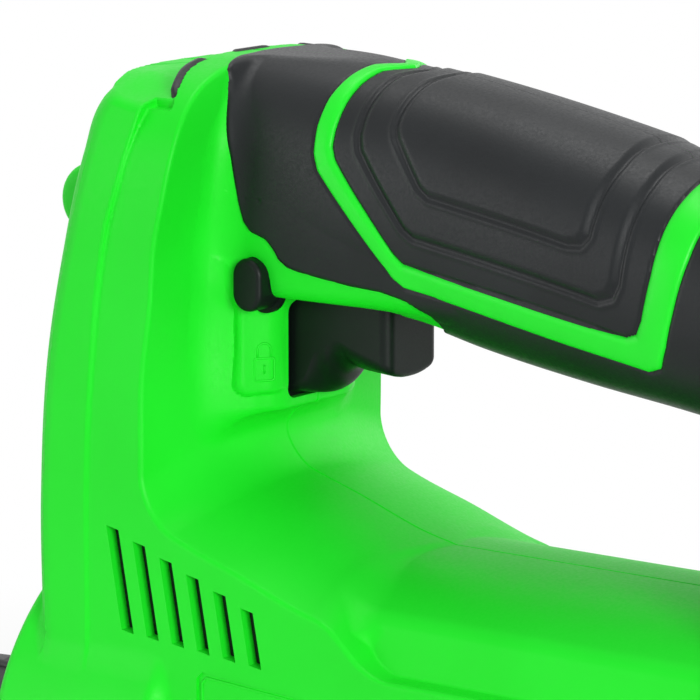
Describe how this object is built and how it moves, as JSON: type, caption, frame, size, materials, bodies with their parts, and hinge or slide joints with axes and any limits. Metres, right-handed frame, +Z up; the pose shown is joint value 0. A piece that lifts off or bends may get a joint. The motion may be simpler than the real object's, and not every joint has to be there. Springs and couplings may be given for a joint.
{
  "type": "leaf blower",
  "caption": "Cordless leaf blower: green two-part housing with D-handle and soft grip, rocking trigger, axial fan, two-piece round nozzle and slide-on battery.",
  "frame": {"origin": "on the flat sole that the blower stands on, under the middle of the body, on the mid-plane", "axes": "+Z up, -X along the air duct towards the nozzle, +Y to the user's right when the nozzle points forward"},
  "size_m": [0.5929, 0.096, 0.2287],
  "materials": {
    "green_plastic": "satin moulded ABS, bright green",
    "black_rubber": "fine-textured soft overmould, black",
    "black_plastic": "spark-textured black plastic",
    "steel": "plain zinc-plated steel",
    "magnet": "sintered ferrite",
    "board_green": "circuit board with solder mask",
    "red_lens": "clear red light pipes",
    "wire_red": "PVC wire insulation"
  },
  "bodies": {
    "body": {"housing_left": "green_plastic", "housing_right": "green_plastic", "grip_left": "black_rubber", "grip_right": "black_rubber", "trigger_pin": "steel", "trigger_spring": "steel", "lock_spring": "steel", "dial_potentiometer": "black_plastic", "switch_module": "black_plastic", "switch_cradle": "black_plastic", "control_board": "board_green", "fan_duct": "black_plastic", "motor_can": "steel", "motor_end_cap": "black_plastic", "motor_magnets": "magnet", "front_bearing": "steel", "rear_bearing": "steel", "tail_cone": "black_plastic", "nozzle_collar": "black_plastic", "intake_grille_left": "black_plastic", "intake_grille_right": "black_plastic", "battery_shoe": "black_plastic", "terminal_block": "black_plastic", "battery_case_front": "black_plastic", "battery_case_rear": "black_plastic", "battery_cells": "steel", "cell_carriers": "black_plastic", "latch_spring": "steel", "gauge_lights": "red_lens", "housing_screws": "steel", "battery_leads": "wire_red", "switch_leads": "wire_red", "foot_sole": "black_rubber"},
    "trigger": {"trigger": "black_plastic"},
    "lock_button": {"lock_button": "black_plastic"},
    "speed_dial": {"speed_dial": "black_plastic"},
    "fan_rotor": {"impeller": "black_plastic", "impeller_nut": "steel", "motor_shaft": "steel", "motor_armature": "steel"},
    "nozzle": {"nozzle_tube": "black_plastic", "nozzle_tip": "black_plastic"},
    "battery_latch": {"battery_latch": "black_plastic"},
    "gauge_button": {"gauge_button": "black_plastic"}
  },
  "joints": [
    {"name": "trigger_pull", "type": "hinge", "parent": "body", "child": "trigger", "pos_m": [-0.0636, 0, 0.1654], "axis": [0, -1, 0], "range_deg": [0, 10], "stiffness_Nm_per_rad": 0.6, "springref_deg": -9.74, "deforming": ["trigger_spring"]},
    {"name": "lock_push", "type": "slide", "parent": "body", "child": "lock_button", "axis": [0, 1, 0], "range_m": [0, 0.0025], "stiffness_N_per_m": 600, "springref_m": -0.002, "deforming": ["lock_spring"]},
    {"name": "dial_turn", "type": "hinge", "parent": "body", "child": "speed_dial", "pos_m": [-0.08, 0, 0.2145], "axis": [0, 1, 0], "range_deg": [0, 270]},
    {"name": "fan_spin", "type": "hinge", "parent": "body", "child": "fan_rotor", "pos_m": [0, 0, 0.053], "axis": [1, 0, 0], "continuous": true},
    {"name": "nozzle_twist", "type": "hinge", "parent": "body", "child": "nozzle", "pos_m": [-0.12, 0, 0.053], "axis": [1, 0, 0], "range_deg": [0, 30]},
    {"name": "latch_press", "type": "slide", "parent": "body", "child": "battery_latch", "axis": [1, 0, 0], "range_m": [0, 0.003], "stiffness_N_per_m": 600, "springref_m": -0.002, "deforming": ["latch_spring"]},
    {"name": "gauge_press", "type": "slide", "parent": "body", "child": "gauge_button", "axis": [-1, 0, 0], "range_m": [0, 0.0007], "stiffness_N_per_m": 800, "springref_m": -0.001}
  ]
}
